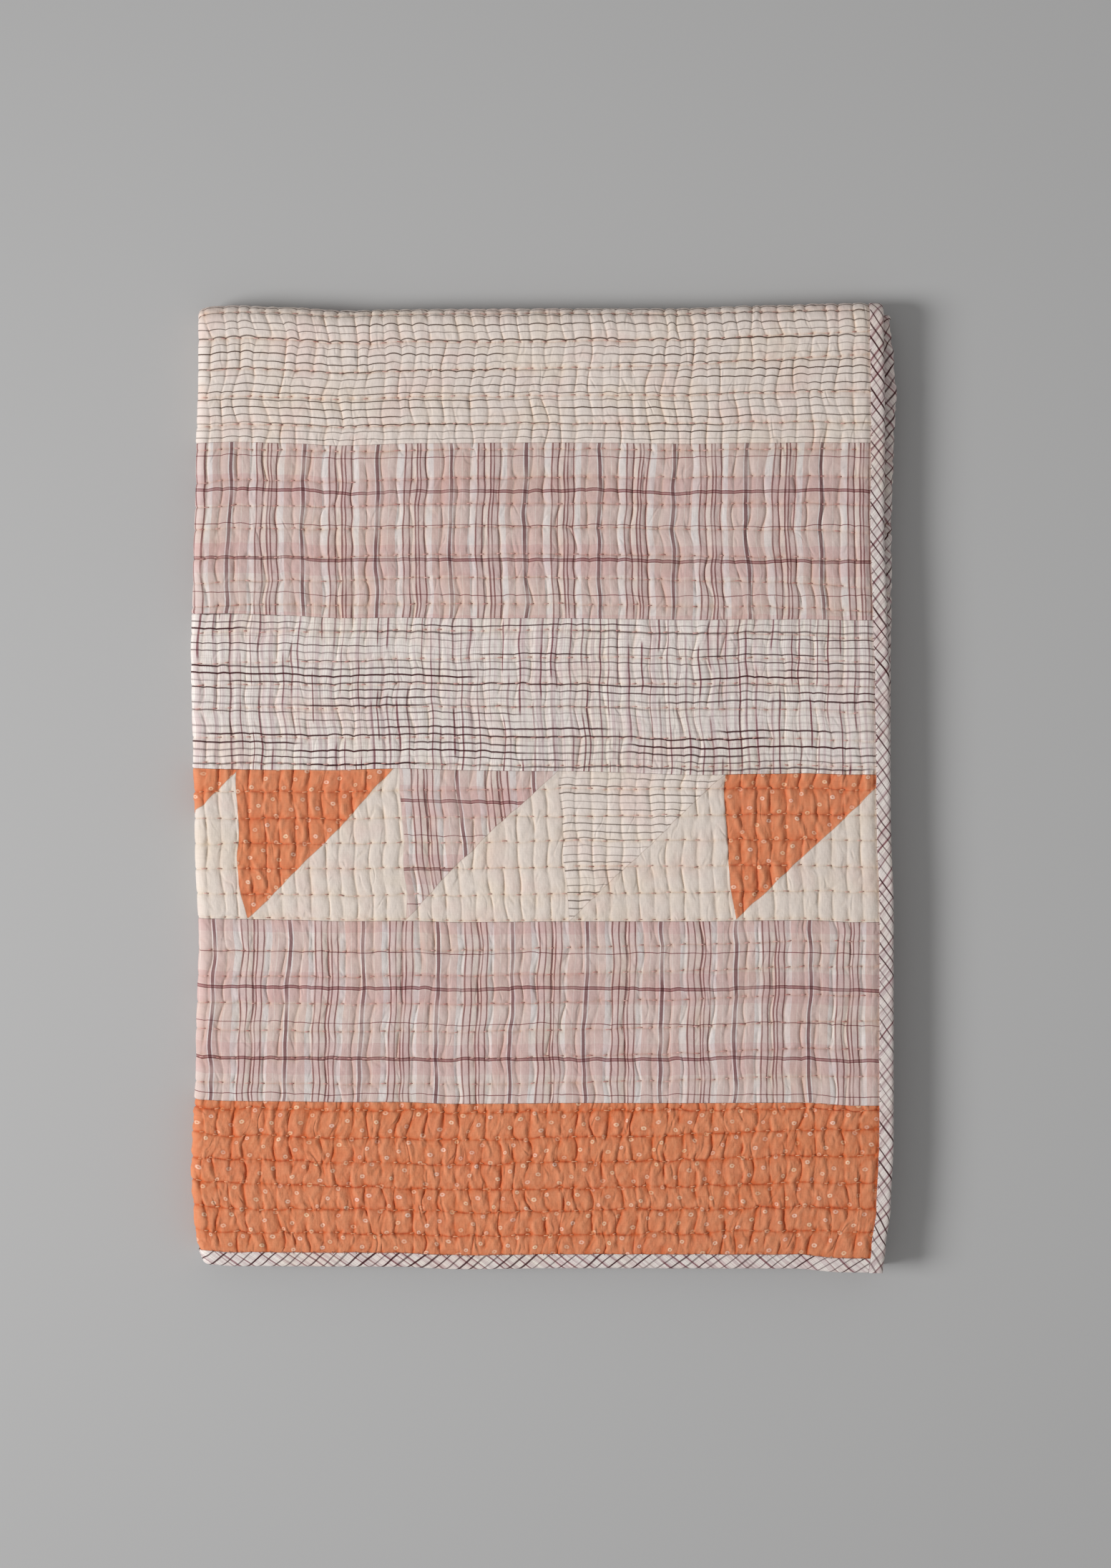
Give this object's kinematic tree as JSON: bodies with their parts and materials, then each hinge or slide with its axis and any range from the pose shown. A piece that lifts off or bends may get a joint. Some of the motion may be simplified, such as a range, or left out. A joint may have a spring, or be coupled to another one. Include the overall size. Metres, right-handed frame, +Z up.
{
  "type": "folded ralli quilt",
  "caption": "Hand-quilted patchwork throw with bias-bound edges, folded in quarters and lying flat as a soft four-layer pile.",
  "frame": {"origin": "under the middle of the folded pile, on the surface it lies on", "axes": "+Z up, +Y towards the rounded fold across the length, -X towards the doubled long edge"},
  "size_m": [0.6599, 0.9083, 0.0386],
  "materials": {
    "quilted_cotton": "soft washed cotton patchwork, running-stitched in rows, matt",
    "binding_check": "fine checked cotton cut on the bias, folded over the edge, matt"
  },
  "bodies": {
    "root": {"quilt_body": "quilted_cotton", "binding_long_outer": "binding_check", "binding_long_inner": "binding_check", "binding_short_upper": "binding_check", "binding_short_under": "binding_check"}
  },
  "joints": []
}
